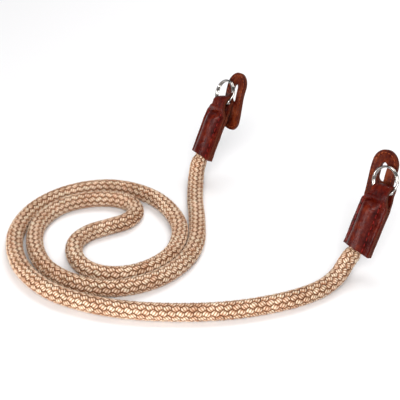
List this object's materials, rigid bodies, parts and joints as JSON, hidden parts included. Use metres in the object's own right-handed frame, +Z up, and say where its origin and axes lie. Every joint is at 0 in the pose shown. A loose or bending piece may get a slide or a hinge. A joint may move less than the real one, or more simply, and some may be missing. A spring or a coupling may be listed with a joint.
{
  "type": "coiled cotton camera strap",
  "caption": "Thick braided cotton rope strap lying in a loose coil, with stitched leather ends, split rings and leather protectors.",
  "frame": {"origin": "the hanging point of the right split ring, where the ring's top meets what the strap hangs from", "axes": "+X from the left ring's hanging point to the right one's, +Z up, the coil lies in front towards -Y, 61 mm below the hanging points"},
  "size_m": [0.1766, 0.1727, 0.0674],
  "materials": {
    "braided_cotton": "chunky chevron braid of golden beige cotton with a satin sheen",
    "sleeve_leather": "waxed red-brown leather, stitched, with lighter pulled-up folds",
    "protector_leather": "waxed red-brown leather with a stitched border and darker cut edges",
    "ring_nickel": "polished nickel plate"
  },
  "bodies": {
    "root": {"rope": "braided_cotton", "leather_sleeve_left": "sleeve_leather", "leather_sleeve_right": "sleeve_leather", "leather_protector_left": "protector_leather", "leather_protector_right": "protector_leather", "split_ring_left": "ring_nickel", "split_ring_right": "ring_nickel"}
  },
  "joints": []
}
